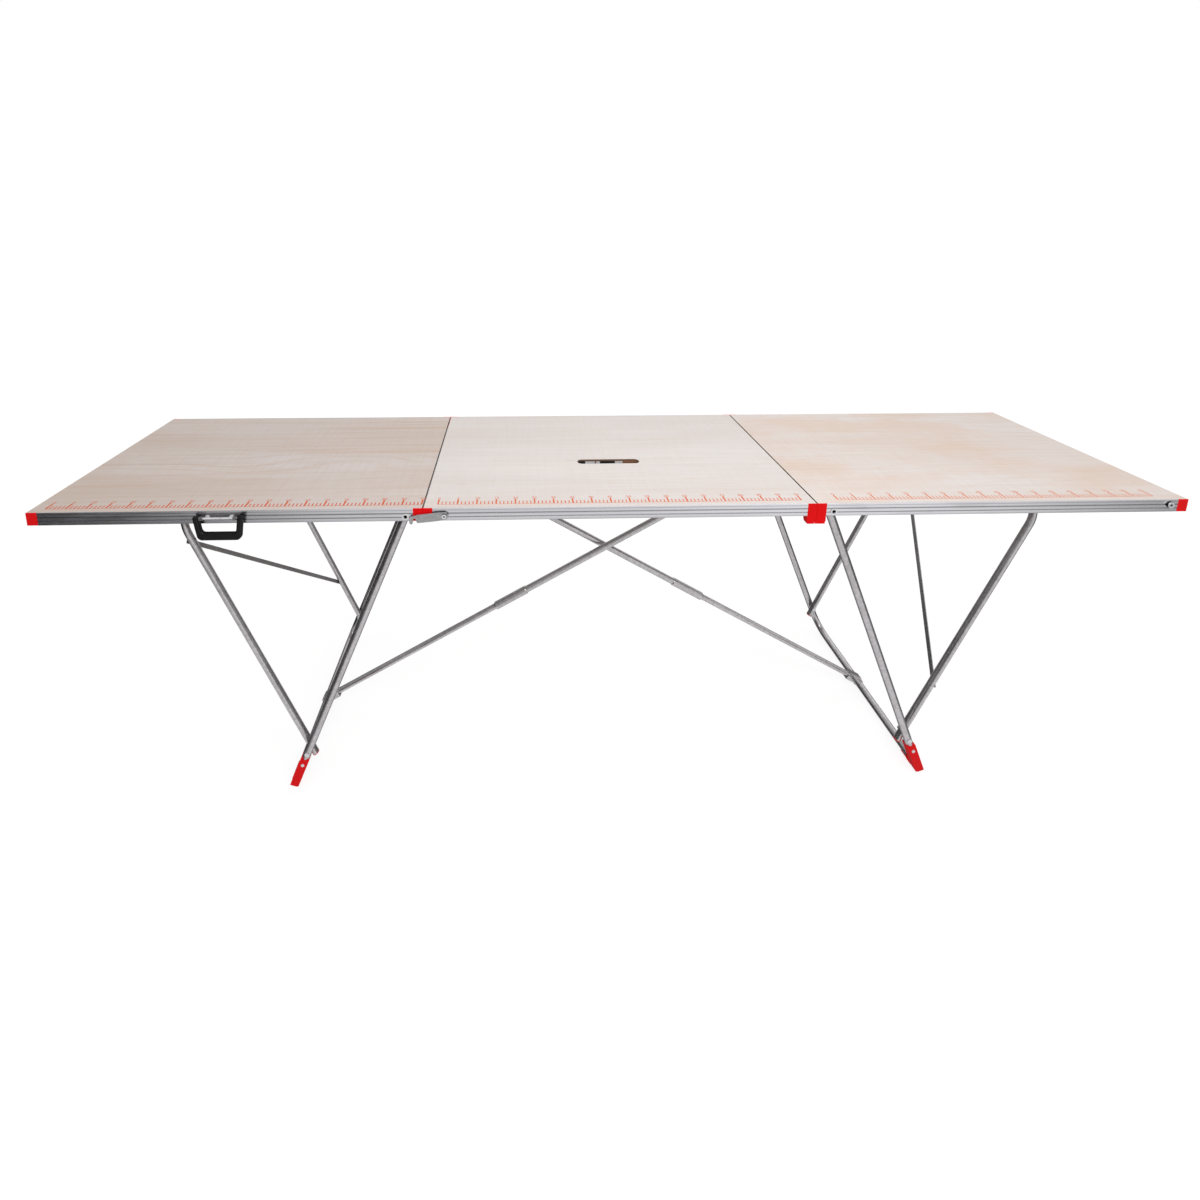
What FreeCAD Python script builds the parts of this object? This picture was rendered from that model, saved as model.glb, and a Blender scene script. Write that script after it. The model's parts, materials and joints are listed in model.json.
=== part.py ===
import FreeCAD, Part
import math
import os

import PartDesign
import Sketcher

# Three-panel folding pasting table, set up on its legs. Millimetres, +Z up, floor at z = 0.
# X runs along the table, -Y is the side with the handle, +Y is the rear.

V = FreeCAD.Vector
doc = FreeCAD.newDocument("pasting_table")
sheet = doc.addObject("Spreadsheet::Sheet", "Sheet")

CELLS = [
    # panels
    ("table_height", 868.0), ("half_length", 1500.0), ("half_width", 300.0),
    ("joint_x", 510.0), ("joint_gap", 0.6), ("board_gap", 4.2), ("board_thick", 5.0),
    ("rail_tall", 34.0), ("rail_wide", 18.0), ("rail_wall", 1.8), ("lip_thick", 2.0),
    ("groove_tall", 2.6), ("groove_deep", 0.9),
    ("end_cap_long", 27.0), ("joint_cap_long", 24.5),
    ("cross_wide", 16.0), ("cross_tall", 17.0), ("end_cross_tall", 22.0),
    ("slot_long", 186.0), ("slot_wide", 27.0), ("slot_x", 5.0), ("slot_y", -55.0),
    ("batten_y", -40.0), ("batten_wide", 18.0), ("batten_tall", 19.0), ("strap_thick", 1.2), ("pad_thick", 2.5),
    # hinges
    ("left_axis_drop", 34.0), ("right_axis_drop", 51.0),
    ("knuckle_r", 5.5), ("hinge_pin_r", 2.5), ("hinge_clear", 0.06),
    # leg set
    ("pivot_x", 554.0), ("pivot_drop", 22.0), ("foot_x", 901.0),
    ("leg_r", 11.0), ("leg_wall", 1.5), ("leg_y", 268.0), ("leg_bend", 60.0), ("leg_over", 8.0),
    ("leg_pin_r", 6.2), ("leg_pin_clear", 0.08), ("rivet_head_r", 8.6), ("rivet_head_tall", 2.0),
    ("bolt_part", 0.888), ("bow_r", 9.0), ("bow_wall", 1.2), ("bow_y", 246.0), ("bow_bend", 85.0), ("bow_over", 30.0),
    ("bow_x", 1170.0), ("plug_lip", 2.0), ("plug_deep", 12.0),
    ("stay_wide", 12.0), ("stay_thick", 2.5), ("stay_top", 101.0), ("stay_low_left", 645.0), ("stay_low_right", 632.0), ("stay_over", 5.5),
    ("shoe_long", 94.0), ("shoe_wide", 24.0), ("shoe_deep", 24.0), ("shoe_arm", 36.0), ("shoe_web", 7.0), ("shoe_end", 9.75),
    ("glide_y", 110.0), ("glide_long", 26.0), ("glide_wide", 30.0), ("glide_clear", 0.3),
    ("track_wide", 20.0), ("track_stem", 8.0), ("track_flange", 2.0), ("bow_travel", 604.0),
    # struts
    ("strut_x", 470.0), ("strut_drop", 40.7), ("strut_y", 14.0), ("hook_lift", 8.0),
    ("upper_r", 9.8), ("upper_wall", 1.0), ("lower_r", 8.5), ("lower_wall", 1.2),
    ("collar_r", 12.0), ("collar_from", 824.0), ("collar_to", 940.0),
    ("hook_from", 47.0), ("hook_wide", 21.0), ("hook_tall", 27.0), ("hook_wall", 3.4), ("hook_clear", 0.4),
    ("bracket_plate", 2.5), ("bracket_long", 30.0), ("strut_pin_r", 4.0), ("lower_from", 848.0),
    # latch and handle
    ("latch_x", -455.0), ("latch_drop", 19.0), ("latch_thick", 3.0), ("latch_off", 3.0),
    ("latch_reach", 90.0), ("latch_tall", 23.0), ("latch_pin_r", 4.0),
    ("stud_x", 1451.0), ("stud_drop", 14.0), ("stud_r", 5.0), ("stud_long", 5.0),
    ("handle_x", -1020.0), ("handle_drop", 15.0), ("handle_wide", 126.0), ("handle_high", 58.0),
    ("handle_thick", 13.0), ("handle_bar", 20.0), ("handle_arm", 14.0), ("handle_off", 9.0),
    ("plate_long", 106.0), ("plate_tall", 17.0), ("plate_thick", 1.8),
]
VALUE = {}
for row, (alias, value) in enumerate(CELLS, start=1):
    sheet.set("A%d" % row, alias)
    sheet.set("B%d" % row, repr(value))
    sheet.setAlias("B%d" % row, alias)
    VALUE[alias] = value
doc.recompute()


class Size:
    """A length that knows its number and the sheet expression that gives it."""

    def __init__(self, value, text):
        self.value, self.text = value, text

    def _join(self, other, sign, value):
        other = size(other)
        return Size(value(self.value, other.value), "(%s %s %s)" % (self.text, sign, other.text))

    def __add__(self, other):
        return self._join(other, "+", lambda a, b: a + b)

    def __radd__(self, other):
        return size(other) + self

    def __sub__(self, other):
        return self._join(other, "-", lambda a, b: a - b)

    def __rsub__(self, other):
        return size(other) - self

    def __mul__(self, other):
        return self._join(other, "*", lambda a, b: a * b)

    __rmul__ = __mul__

    def __truediv__(self, other):
        return self._join(other, "/", lambda a, b: a / b)

    def __neg__(self):
        return size(0) - self


def size(x):
    return x if isinstance(x, Size) else Size(float(x), repr(float(x)))


def c(alias):
    return Size(VALUE[alias], "Sheet." + alias)


def v(alias):
    return VALUE[alias]


COUNT = [0]


def new(kind, name=None):
    COUNT[0] += 1
    return doc.addObject(kind, name or "piece%03d" % COUNT[0])


def bind(obj, prop, value):
    value = size(value)
    setattr(obj, prop, value.value)
    if "Sheet" in value.text:
        obj.setExpression(prop, value.text)


def place(obj, base, rotation=None):
    """Puts an object at a base point whose coordinates may be bound to the sheet."""
    base = [size(b) for b in base]
    obj.Placement = FreeCAD.Placement(V(*[b.value for b in base]), rotation or FreeCAD.Rotation())
    for b, axis in zip(base, "xyz"):
        if "Sheet" in b.text:
            obj.setExpression("Placement.Base." + axis, b.text)


def box(long, wide, tall, base, rotation=None):
    o = new("Part::Box")
    bind(o, "Length", long)
    bind(o, "Width", wide)
    bind(o, "Height", tall)
    place(o, base, rotation)
    return o


def cylinder(r, tall, base, way=(0, 0, 1)):
    o = new("Part::Cylinder")
    bind(o, "Radius", r)
    bind(o, "Height", tall)
    place(o, base, FreeCAD.Rotation(V(0, 0, 1), V(*way)))
    return o


def torus(ring, r, angle, base, rotation):
    o = new("Part::Torus")
    bind(o, "Radius1", ring)
    bind(o, "Radius2", r)
    o.Angle1, o.Angle2, o.Angle3 = -180, 180, angle
    place(o, base, rotation)
    return o


def fuse(*parts):
    if len(parts) == 1:
        return parts[0]
    o = new("Part::MultiFuse")
    o.Shapes = list(parts)
    return o


def cut(base, *tools):
    o = new("Part::Cut")
    o.Base = base
    o.Tool = fuse(*tools)
    return o


def group(*parts):
    o = new("Part::Compound")
    o.Links = list(parts)
    return o


NODES = []


def node(name, obj):
    obj.Label = name
    NODES.append((name, obj))
    return obj


def plane_of(body, role):
    return [f for f in body.Origin.OriginFeatures if f.Role == role][0]


def sketch_loop(sk, points):
    """A closed outline of straight lines, each corner held by its distances from the sketch's origin."""
    points = [(size(x), size(y)) for x, y in points]
    first = sk.GeometryCount
    n = len(points)
    for i in range(n):
        a, b = points[i], points[(i + 1) % n]
        sk.addGeometry(Part.LineSegment(V(a[0].value, a[1].value, 0), V(b[0].value, b[1].value, 0)), False)
    for i in range(n):
        sk.addConstraint(Sketcher.Constraint("Coincident", first + i, 2, first + (i + 1) % n, 1))
    for i, (x, y) in enumerate(points):
        for kind, q, axis in (("DistanceX", x, -2), ("DistanceY", y, -1)):
            if abs(q.value) < 1e-9:
                sk.addConstraint(Sketcher.Constraint("PointOnObject", first + i, 1, axis))
                continue
            k = sk.addConstraint(Sketcher.Constraint(kind, -1, 1, first + i, 1, q.value))
            if "Sheet" in q.text:
                sk.setExpression("Constraints[%d]" % k, q.text)


def padded(name, role, loops, length, circles=(), base=(0, 0, 0), rotation=None):
    """A body padded from one sketch on an origin plane. circles are (x, y, radius) holes in it."""
    body = new("PartDesign::Body", name + "_body")
    sk = body.newObject("Sketcher::SketchObject", name + "_outline")
    sk.AttachmentSupport = [(plane_of(body, role), "")]
    sk.MapMode = "FlatFace"
    for loop in loops:
        sketch_loop(sk, loop)
    for x, y, r in circles:
        x, y, r = size(x), size(y), size(r)
        g = sk.addGeometry(Part.Circle(V(x.value, y.value, 0), V(0, 0, 1), r.value), False)
        k = sk.addConstraint(Sketcher.Constraint("Radius", g, r.value))
        if "Sheet" in r.text:
            sk.setExpression("Constraints[%d]" % k, r.text)
        for kind, q, axis in (("DistanceX", x, -2), ("DistanceY", y, -1)):
            if abs(q.value) < 1e-9:
                sk.addConstraint(Sketcher.Constraint("PointOnObject", g, 3, axis))
                continue
            k = sk.addConstraint(Sketcher.Constraint(kind, -1, 1, g, 3, q.value))
            if "Sheet" in q.text:
                sk.setExpression("Constraints[%d]" % k, q.text)
    pad = body.newObject("PartDesign::Pad", name + "_pad")
    pad.Profile = sk
    bind(pad, "Length", length)
    sk.Visibility = False
    doc.recompute()
    place(body, base, rotation)
    return body, pad


def rounded(body, feature, edges, radius):
    """Fillets the edges of the feature that the test picks."""
    doc.recompute()
    names = ["Edge%d" % (i + 1) for i, e in enumerate(feature.Shape.Edges) if edges(e)]
    f = body.newObject("PartDesign::Fillet", feature.Name + "_round")
    f.Base = (feature, names)
    bind(f, "Radius", radius)
    doc.recompute()
    return f


def along(axis):
    return lambda e: len(e.Vertexes) == 2 and isinstance(e.Curve, Part.Line) and abs(abs(e.Curve.Direction.dot(V(*axis))) - 1) < 1e-6


# ---------------------------------------------------------------- panels
top = c("table_height")
hw = c("half_width")
under = top - c("board_thick")          # underside of the boards
rail_low = top - c("rail_tall")
half_gap = c("joint_gap") / 2
joint = c("joint_x")


def rail_section(side):
    """The rail's outline in its own y (outward) and z (up from its foot), with two grooves and a lip around the board's edge."""
    w, tall, lip = c("rail_wide"), c("rail_tall"), c("lip_thick")
    seat = tall - c("board_thick")
    gt, gd = c("groove_tall"), c("groove_deep")
    g1, g2 = size(9.0), size(19.5)
    outline = [
        (0, 0), (w, 0), (w, g1), (w - gd, g1), (w - gd, g1 + gt), (w, g1 + gt), (w, g2), (w - gd, g2), (w - gd, g2 + gt),
        (w, g2 + gt), (w, tall), (w - lip, tall), (w - lip, seat), (0, seat),
    ]
    k = c("rail_wall")
    hollow = [(k, k), (w - k - gd, k), (w - k - gd, seat - k), (k, seat - k)]
    return outline, hollow


def frame_of(side):
    """Turns the section's y to the table's outside and pads along X."""
    if side > 0:      # rear rail: section x -> +Y, section y -> +Z, pad -> +X
        return FreeCAD.Rotation(V(0, 1, 0), V(0, 0, 1), V(1, 0, 0), "XYZ")
    return FreeCAD.Rotation(V(0, -1, 0), V(0, 0, 1), V(-1, 0, 0), "XYZ")


def rail(name, side, x0, x1, holes):
    """A hollow rail from x0 to x1, drilled across at the holes (x, z, radius)."""
    outline, hollow = rail_section(side)
    long = x1 - x0
    inner = hw - c("rail_wide")
    body, pad = padded(name, "XY_Plane", [outline, hollow], long)
    place(body, (x0 if side > 0 else x1, inner * side, rail_low), frame_of(side))
    if not holes:
        return node(name, body)
    drills = [cylinder(r, c("rail_wide") + 20, (x, (hw + 10) * -1 if side < 0 else inner - 10, z), (0, 1, 0)) for x, z, r in holes]
    return node(name, cut(body, *drills))


def board(name, x0, x1, slot=False):
    edge = hw - c("lip_thick") - 0.2
    o = box(x1 - x0, edge * 2, c("board_thick"), (x0, -edge, under))
    if not slot:
        return node(name, o)
    r = c("slot_wide") / 2
    straight = c("slot_long") - c("slot_wide")
    sx, sy = c("slot_x"), c("slot_y")
    hole = fuse(
        box(straight, c("slot_wide"), c("board_thick") + 10, (sx - straight / 2, sy - r, under - 5)),
        cylinder(r, c("board_thick") + 10, (sx - straight / 2, sy, under - 5)),
        cylinder(r, c("board_thick") + 10, (sx + straight / 2, sy, under - 5)),
    )
    return node(name, cut(o, hole))


def cross_rail(x0, wide, tall):
    """A hollow square tube across the panel, between the rails, against the board."""
    inner = hw - c("rail_wide")
    outer = box(wide, inner * 2, tall, (x0, -inner, under - tall))
    k = size(1.6)
    return cut(outer, box(wide - 2 * k, inner * 2 + 2, tall - 2 * k, (x0 + k, -inner - 1, under - tall + k)))


def cap_block(x0, x1, side):
    """A red plastic end of a rail: the rail's outer section as a solid, with a tongue into the rail left off."""
    w = c("rail_wide")
    inner = hw - w
    y0 = inner if side > 0 else -hw
    block = box(x1 - x0, w, c("rail_tall") - c("board_thick"), (x0, y0, rail_low))
    lip_y = hw - c("lip_thick") if side > 0 else -hw
    lip = box(x1 - x0, c("lip_thick"), c("board_thick"), (x0, lip_y, under))
    return [block, lip]


def tongue(x0, long, side):
    """The part of a cap that sits inside the rail."""
    k = c("rail_wall") + 0.1
    inner = hw - c("rail_wide")
    wide = c("rail_wide") - 2 * k - c("groove_deep")
    y0 = inner + k if side > 0 else (inner + k + wide) * -1
    return box(long, wide, c("rail_tall") - c("board_thick") - 2 * k, (x0, y0, rail_low + k))


end_x = c("half_length")
cap = c("joint_cap_long")
ecap = c("end_cap_long")
pivot_z = top - c("pivot_drop")
leg_hole = c("leg_pin_r") + 0.05

# boards
edge_gap = c("board_gap") / 2
board("left_board", -end_x, -(joint + edge_gap))
board("middle_board", -(joint - edge_gap), joint - edge_gap, slot=True)
board("right_board", joint + edge_gap, end_x)

# rails along the two long edges of each panel
for tag, side in (("front", -1), ("rear", 1)):
    rail("left_%s_rail" % tag, side, -(end_x - ecap), -(joint + half_gap + cap), [(-c("pivot_x"), pivot_z, leg_hole)])
    rail("right_%s_rail" % tag, side, joint + half_gap + cap, end_x - ecap, [(c("pivot_x"), pivot_z, leg_hole)])
    holes = [(c("latch_x"), top - c("latch_drop"), c("latch_pin_r") + 0.05)] if side < 0 else []
    rail("middle_%s_rail" % tag, side, -(joint - half_gap - cap), joint - half_gap - cap, holes)

# cross rails under the short edges
cw = c("cross_wide")
middle_cross = []
for tag, sign in (("left", -1), ("right", 1)):
    near = joint + half_gap + 2
    far = end_x - 2
    inner_x = near if sign > 0 else -(near + cw)
    outer_x = far - cw if sign > 0 else -far
    node("%s_cross_rails" % tag, group(cross_rail(inner_x, cw, c("cross_tall")), cross_rail(outer_x, cw, c("end_cross_tall"))))
    mid_x = joint - half_gap - 2 - cw if sign > 0 else -(joint - half_gap - 2)
    middle_cross.append(cross_rail(mid_x, cw, size(15.0)))
node("middle_cross_rails", group(*middle_cross))

# behind the grip slot: a batten under the board, with steel straps and dark pads on the face that shows through the slot
bt, b_face = c("batten_tall"), c("batten_y")
node("slot_batten", box(size(200.0), c("batten_wide"), bt, (-95.0, b_face, under - bt)))
node("slot_straps", group(*[
    box(size(x1 - x0), c("strap_thick"), bt - 3, (x0, b_face - c("strap_thick"), under - bt + 1.5))
    for x0, x1 in ((-62.0, -33.0), (-29.5, -18.0), (28.0, 51.0))]))
node("slot_pads", group(*[
    box(size(x1 - x0), c("pad_thick"), bt - 2, (x0, b_face - c("pad_thick"), under - bt + 1))
    for x0, x1 in ((-95.0, -64.0), (-16.5, 26.5))]))

# end caps
for tag, sign in (("left", -1), ("right", 1)):
    caps = []
    for side in (-1, 1):
        x0, x1 = (-end_x, -(end_x - ecap)) if sign < 0 else (end_x - ecap, end_x)
        t0 = x1 if sign < 0 else x0 - 20
        caps.append(fuse(*(cap_block(x0, x1, side) + [tongue(t0, size(20.0), side)])))
    node("%s_end_caps" % tag, group(*caps))

# joint caps with hinge knuckles. The wing's knuckle takes the outer half of the rail's width, the middle panel's the inner half.
AXIS_Z = {}
all_pins = []
for tag, sign, drop in (("left", -1, c("left_axis_drop")), ("right", 1, c("right_axis_drop"))):
    axis_z = top - drop
    AXIS_Z[tag] = axis_z.value
    k = c("knuckle_r")
    w = c("rail_wide")
    wing, mid = [], []
    jx = joint * sign
    for side in (-1, 1):
        inner = hw - w
        half = w / 2
        # y range of the outer half (wing) and the inner half (middle)
        wy0 = inner + half + 0.15 if side > 0 else -hw
        my0 = inner if side > 0 else (inner + half - 0.15) * -1
        kw = half - 0.15
        deep = rail_low - axis_z          # how far the axis lies under the rail
        for which, y0, store in (("wing", wy0, wing), ("mid", my0, mid)):
            out = sign if which == "wing" else -sign      # which way its panel lies from the joint
            x_near = jx + half_gap * out
            x_far = x_near + cap * out
            lo, hi = (x_near, x_far) if out > 0 else (x_far, x_near)
            parts = cap_block(lo, hi, side)
            t0 = hi if out > 0 else lo - 12
            parts.append(tongue(t0, size(12.0), side))
            # lug from the cap down to the knuckle
            knuckle = cylinder(k, kw, (jx, y0, axis_z), (0, 1, 0))
            parts.append(knuckle)
            if deep.value > 1:
                lug_long = cap
                y_all = inner if side > 0 else -hw
                lx = x_near if out > 0 else x_near - lug_long
                parts.append(box(lug_long, w, deep, (lx, y_all, axis_z)))
                parts.append(box(lug_long - 1.5, w, k, (lx if out > 0 else lx + 1.5, y_all, axis_z - k)))
            body = fuse(*parts)
            # room for the other half's knuckle, and the pin's bore
            oy0 = my0 if which == "wing" else wy0
            room = [cylinder(k + 0.9, kw + 0.3, (jx, oy0 - 0.15, axis_z), (0, 1, 0))]
            bore = c("hinge_pin_r") + (c("hinge_clear") if which == "wing" else size(0.02))
            room.append(cylinder(bore, w + 0.8, (jx, -hw + 1.2 if side < 0 else inner - 2, axis_z), (0, 1, 0)))
            store.append(cut(body, *room))
        all_pins.append(cylinder(c("hinge_pin_r"), w - 1.9, (jx, -hw + 1.4 if side < 0 else inner + 0.5, axis_z), (0, 1, 0)))
    node("%s_joint_caps" % tag, group(*wing))
    node("middle_%s_joint_caps" % tag, group(*mid))
node("hinge_pins", group(*all_pins))

# ---------------------------------------------------------------- leg sets
for tag, sign in (("left", -1), ("right", 1)):
    P = V(sign * v("pivot_x"), 0, v("table_height") - v("pivot_drop"))
    F = V(sign * v("foot_x"), 0, v("leg_r"))
    d = F - P
    reach = d.Length                      # pivot to floor bar
    d.normalize()                         # down the leg
    side_way = V(0, 1, 0).cross(d)        # square to the leg, in the plane of X and Z
    R, wall, ly = c("leg_r"), c("leg_wall"), c("leg_y")
    bolt_s = reach * v("bolt_part")

    def on_leg(s, y, off=0.0):
        q = P + d * s + side_way * off
        return (q.x, y, q.z)

    leg_turn = FreeCAD.Rotation(V(0, 1, 0), V(d), V(0, 1, 0).cross(d), "XYZ")   # x -> +Y, y -> down the leg

    # straight front leg
    s0 = -v("leg_over")
    foot_end = reach - 26
    outer = cylinder(R, foot_end - s0, on_leg(s0, -v("leg_y")), (d.x, d.y, d.z))
    bore = cylinder(R - wall, foot_end - s0 + 10, on_leg(s0 - 5, -v("leg_y")), (d.x, d.y, d.z))
    pin_hole = cylinder(c("leg_pin_r") + c("leg_pin_clear"), 40, (P.x, -v("leg_y") - 20, P.z), (0, 1, 0))
    B = P + d * bolt_s
    bolt_hole = cylinder(size(4.05), 40, (B.x, -v("leg_y") - 20, B.z), (0, 1, 0))
    flat = cylinder(size(8.0), 6, (B.x, -v("leg_y") - v("leg_r") - 4, B.z), (0, 1, 0))
    node("%s_leg_front_tube" % tag, cut(outer, bore, pin_hole, bolt_hole, flat))

    # bent tube: rear leg, bend and floor bar in one
    bend = v("leg_bend")
    y_end = -240.0

    def bent(r, extra):
        leg = cylinder(r, reach - bend - s0 + extra, on_leg(s0 - extra, v("leg_y")), (d.x, d.y, d.z))
        o = on_leg(reach - bend, v("leg_y") - bend)
        turn = torus(c("leg_bend"), r, 90, o, leg_turn)
        bar_y = v("leg_y") - bend
        bar = cylinder(r, bar_y - y_end + extra, on_leg(reach, y_end - extra), (0, 1, 0))
        return fuse(leg, turn, bar)

    rear_pin = cylinder(c("leg_pin_r") + c("leg_pin_clear"), 40, (P.x, v("leg_y") - 20, P.z), (0, 1, 0))
    rear_bolt = cylinder(size(4.05), 40, (B.x, v("leg_y") - 20, B.z), (0, 1, 0))
    rear_flat = cylinder(size(8.0), 6, (B.x, v("leg_y") + v("leg_r") - 2, B.z), (0, 1, 0))
    node("%s_leg_rear_tube" % tag, cut(bent(R, 0.0), bent(R - wall, 6.0), rear_pin, rear_bolt, rear_flat))

    # red corner shoe: a sleeve on the front leg that ends square, an arm under the floor bar, a web between, cut level with the floor
    wide, deep = c("shoe_wide"), c("shoe_deep")
    half_wide = v("shoe_wide") / 2
    front_y = -v("leg_y") - v("shoe_deep") / 2
    arm_y0 = -v("leg_y") + v("shoe_deep") / 2
    s_top = reach - v("shoe_long") + v("leg_r")
    s_arm = reach - 1.0
    down = FreeCAD.Rotation(side_way, V(0, 1, 0), d, "XYZ")      # length square to the leg, width along Y, height down the leg
    stem = box(wide, deep, c("shoe_long") - c("leg_r") + c("shoe_end"), on_leg(s_top, front_y, -half_wide), down)
    arm = box(wide + 2, c("shoe_arm") + 2, c("leg_r") * 2 + 14, on_leg(s_arm, arm_y0 - 2, -half_wide - 1), down)
    web_in = v("shoe_arm") * 0.4
    web_up = (s_arm - s_top) * 0.55
    web_normal = V(0, 1, 0).cross(d * -1)
    web_off = -v("shoe_web") / 2 if web_normal.dot(side_way) > 0 else v("shoe_web") / 2
    web, _ = padded("%s_shoe_web" % tag, "XY_Plane", [[(0, 0), (web_in, 0), (0, web_up)]], c("shoe_web"))
    place(web, on_leg(s_arm + 0.5, arm_y0 - 0.5, web_off), FreeCAD.Rotation(V(0, 1, 0), d * -1, web_normal, "XYZ"))
    floor_cut = box(size(400), size(400), size(200), (F.x - 200, front_y - 100, -200))
    sock = cylinder(R + 0.05, 80, on_leg(foot_end - 79.5, -v("leg_y")), (d.x, d.y, d.z))
    bar_sock = cylinder(R + 0.05, 120, on_leg(reach, y_end - 0.5), (0, 1, 0))
    under_bar = box(R * 2 + 0.1, size(120), size(60), (F.x - v("leg_r") - 0.05, y_end - 0.5, v("leg_r") - 60))
    screw_at = on_leg(s_top + 17, -v("leg_y"))
    screw_hole = cylinder(size(3.05), 60, (screw_at[0], front_y - 20, screw_at[2]), (0, 1, 0))
    node("%s_shoe" % tag, cut(fuse(stem, arm, web), floor_cut, sock, bar_sock, under_bar, screw_hole))

    # bolts through the legs where the brace meets them, and the shoe's screw
    bolts = []
    for side in (-1, 1):
        y_out = side * (v("leg_y") + v("leg_r") - 2.0)
        y_in = side * (v("leg_y") - v("leg_r") - 1.4)
        head_y = y_out if side > 0 else y_out - 3.2
        shank_y = min(y_out, y_in)
        shank = cylinder(size(4.0), abs(y_out - y_in), (B.x, shank_y, B.z), (0, 1, 0))
        head = cylinder(size(6.6), 3.2, (B.x, head_y, B.z), (0, 1, 0))
        bolts.append(fuse(shank, head))
    screw = fuse(
        cylinder(size(3.0), 0.9, (screw_at[0], front_y - 0.1, screw_at[2]), (0, 1, 0)),
        cylinder(size(4.6), 1.6, (screw_at[0], front_y - 1.6, screw_at[2]), (0, 1, 0)),
    )
    node("%s_leg_bolts" % tag, group(*(bolts + [screw])))

    # tubular rivets that the legs turn on, fixed in the rails
    rivets = []
    for side in (-1, 1):
        y_face = side * v("half_width")
        y_in = side * (v("leg_y") - v("leg_r") - 0.6)
        lo = min(y_face, y_in)
        shank = cylinder(c("leg_pin_r"), abs(y_face - y_in), (P.x, lo, P.z), (0, 1, 0))
        head = cylinder(c("rivet_head_r"), c("rivet_head_tall"), (P.x, y_face if side > 0 else y_face - v("rivet_head_tall"), P.z), (0, 1, 0))
        hollow = cylinder(c("leg_pin_r") - 1.2, 12, (P.x, y_face - 8 if side > 0 else y_face - 4, P.z), (0, 1, 0))
        rivets.append(cut(fuse(shank, head), hollow))
    node("%s_leg_rivets" % tag, group(*rivets))

    # ------------------------------------------------ brace
    C = V(sign * v("bow_x"), 0, P.z)
    b = V(B) - C
    b_long = b.Length
    b.normalize()
    out_way = V(0, 1, 0).cross(b) * (1 if V(0, 1, 0).cross(b).x * sign > 0 else -1)   # away from the table's middle
    br, bw, by, bb = c("bow_r"), c("bow_wall"), v("bow_y"), v("bow_bend")
    b_end = b_long + v("bow_over")

    def on_bow(s, y, off=0.0):
        q = C + b * s + out_way * off
        return (q.x, y, q.z)

    def bow(r, extra):
        parts = []
        for side in (-1, 1):
            parts.append(cylinder(r, b_end - bb + extra, on_bow(bb, side * by), (b.x, b.y, b.z)))
            xw, yw = V(0, side, 0), b * -1
            parts.append(torus(c("bow_bend"), r, 90, on_bow(bb, side * (by - bb)), FreeCAD.Rotation(xw, yw, xw.cross(yw), "XYZ")))
        parts.append(cylinder(r, 2 * (by - bb), on_bow(0, -(by - bb)), (0, 1, 0)))
        return fuse(*parts)

    holes = []
    for side in (-1, 1):
        holes.append(cylinder(size(4.05), 30, (B.x, side * by - 15, B.z), (0, 1, 0)))
    front_s, rear_s = (v("stay_top"), v("stay_low_left")) if sign < 0 else (v("stay_low_right"), v("stay_top"))
    stay_ends = [(-by, front_s), (by, rear_s)]
    for y, s in stay_ends:
        holes.append(cylinder(size(2.55), 30, on_bow(s, y, -15), (out_way.x, out_way.y, out_way.z)))
    node("%s_brace_bow" % tag, cut(bow(br, 0.0), bow(br - bw, 6.0), *holes))

    plugs = []
    for side in (-1, 1):
        lip = cylinder(br, c("plug_lip"), on_bow(b_end, side * by), (b.x, b.y, b.z))
        stub = cylinder(br - bw - 0.05, c("plug_deep"), on_bow(b_end - v("plug_deep"), side * by), (b.x, b.y, b.z))
        plugs.append(fuse(lip, stub))
    node("%s_brace_plugs" % tag, group(*plugs))

    # flat stay across the bow, riveted to its outer face
    a0 = V(*on_bow(front_s, -by))
    a1 = V(*on_bow(rear_s, by))
    run = a1 - a0
    run_long = run.Length
    run.normalize()
    lift = v("bow_r") + 0.05
    across = out_way.cross(run)
    s_base = a0 - run * v("stay_over") + out_way * lift - across * (v("stay_wide") / 2)
    strip = box(run_long + 2 * c("stay_over"), c("stay_wide"), c("stay_thick"), (s_base.x, s_base.y, s_base.z), FreeCAD.Rotation(run, across, out_way, "XYZ"))
    stay_holes = [cylinder(size(2.55), 30, on_bow(s, y, -2), (out_way.x, out_way.y, out_way.z)) for y, s in stay_ends]
    node("%s_brace_stay" % tag, cut(strip, *stay_holes))

    rivets = []
    for y, s in stay_ends:
        t = v("bow_r") + 0.05 + v("stay_thick")
        rivets.append(fuse(
            cylinder(size(2.5), t + 6, on_bow(s, y, -6), (out_way.x, out_way.y, out_way.z)),
            cylinder(size(4.4), 1.5, on_bow(s, y, t), (out_way.x, out_way.y, out_way.z)),
        ))
    for side in (-1, 1):
        y_out = side * (by + v("bow_r") - 0.2)
        y_in = side * (by - v("bow_r"))
        lo = min(y_out, y_in)
        head_y = y_in - 2.45 if side > 0 else y_in + 0.05
        rivets.append(fuse(
            cylinder(size(4.0), abs(y_out - y_in) + 1, (B.x, lo - 1 if side > 0 else lo, B.z), (0, 1, 0)),
            cylinder(size(6.4), 2.4, (B.x, head_y, B.z), (0, 1, 0)),
        ))
    node("%s_brace_rivets" % tag, group(*rivets))

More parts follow.
